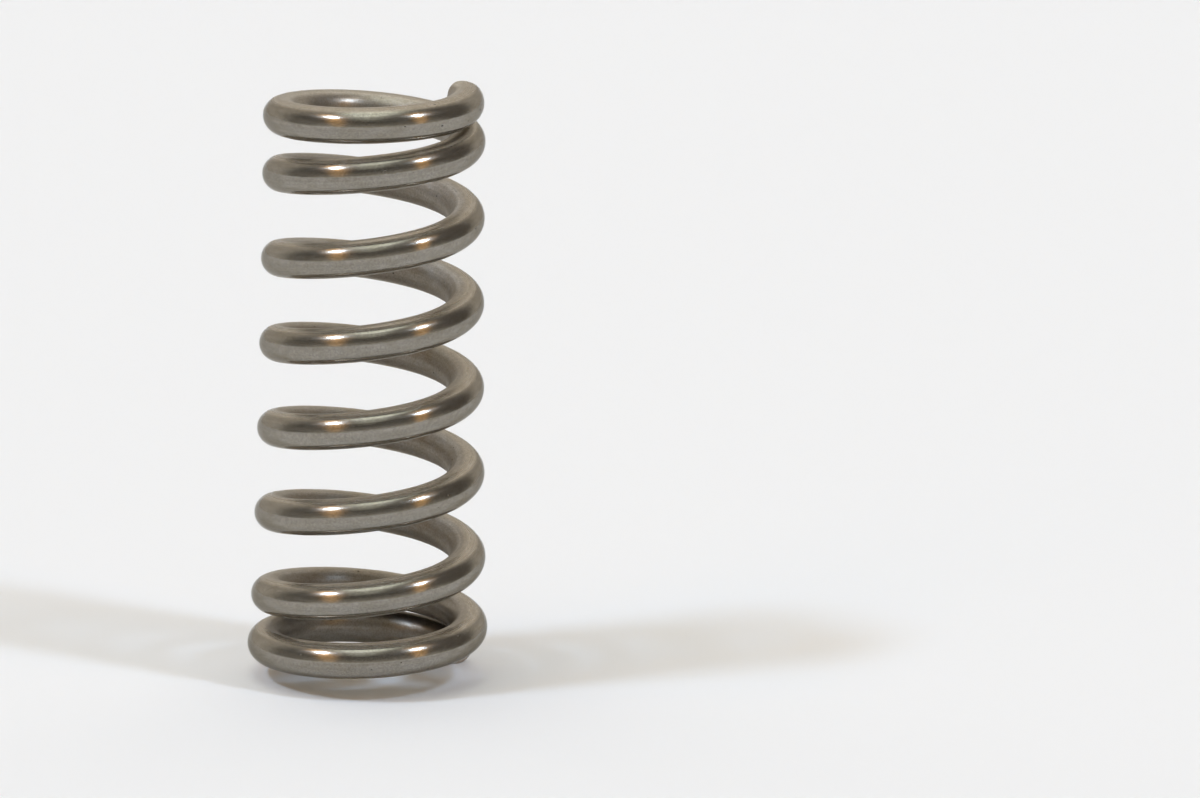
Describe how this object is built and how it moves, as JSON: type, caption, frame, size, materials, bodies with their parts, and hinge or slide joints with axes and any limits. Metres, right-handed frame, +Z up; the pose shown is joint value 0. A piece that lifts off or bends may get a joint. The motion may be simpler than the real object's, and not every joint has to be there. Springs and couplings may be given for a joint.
{
  "type": "bar end spring",
  "caption": "Compression spring of round steel wire, wound right-hand, with open middle coils, a closed unground coil at each end and a slightly wider lower end.",
  "frame": {"origin": "on the coil's axis, under the tip of the lower end coil, in the plane that the spring stands on", "axes": "+Z up the coil's axis to the narrower upper end; +X to the right and +Y away in the front view, with both wire tips near +X"},
  "size_m": [0.02, 0.0202, 0.0504],
  "materials": {
    "spring_wire": "satin drawn stainless spring wire with faint lengthwise draw lines"
  },
  "bodies": {
    "root": {"coil_spring": "spring_wire"}
  },
  "joints": []
}
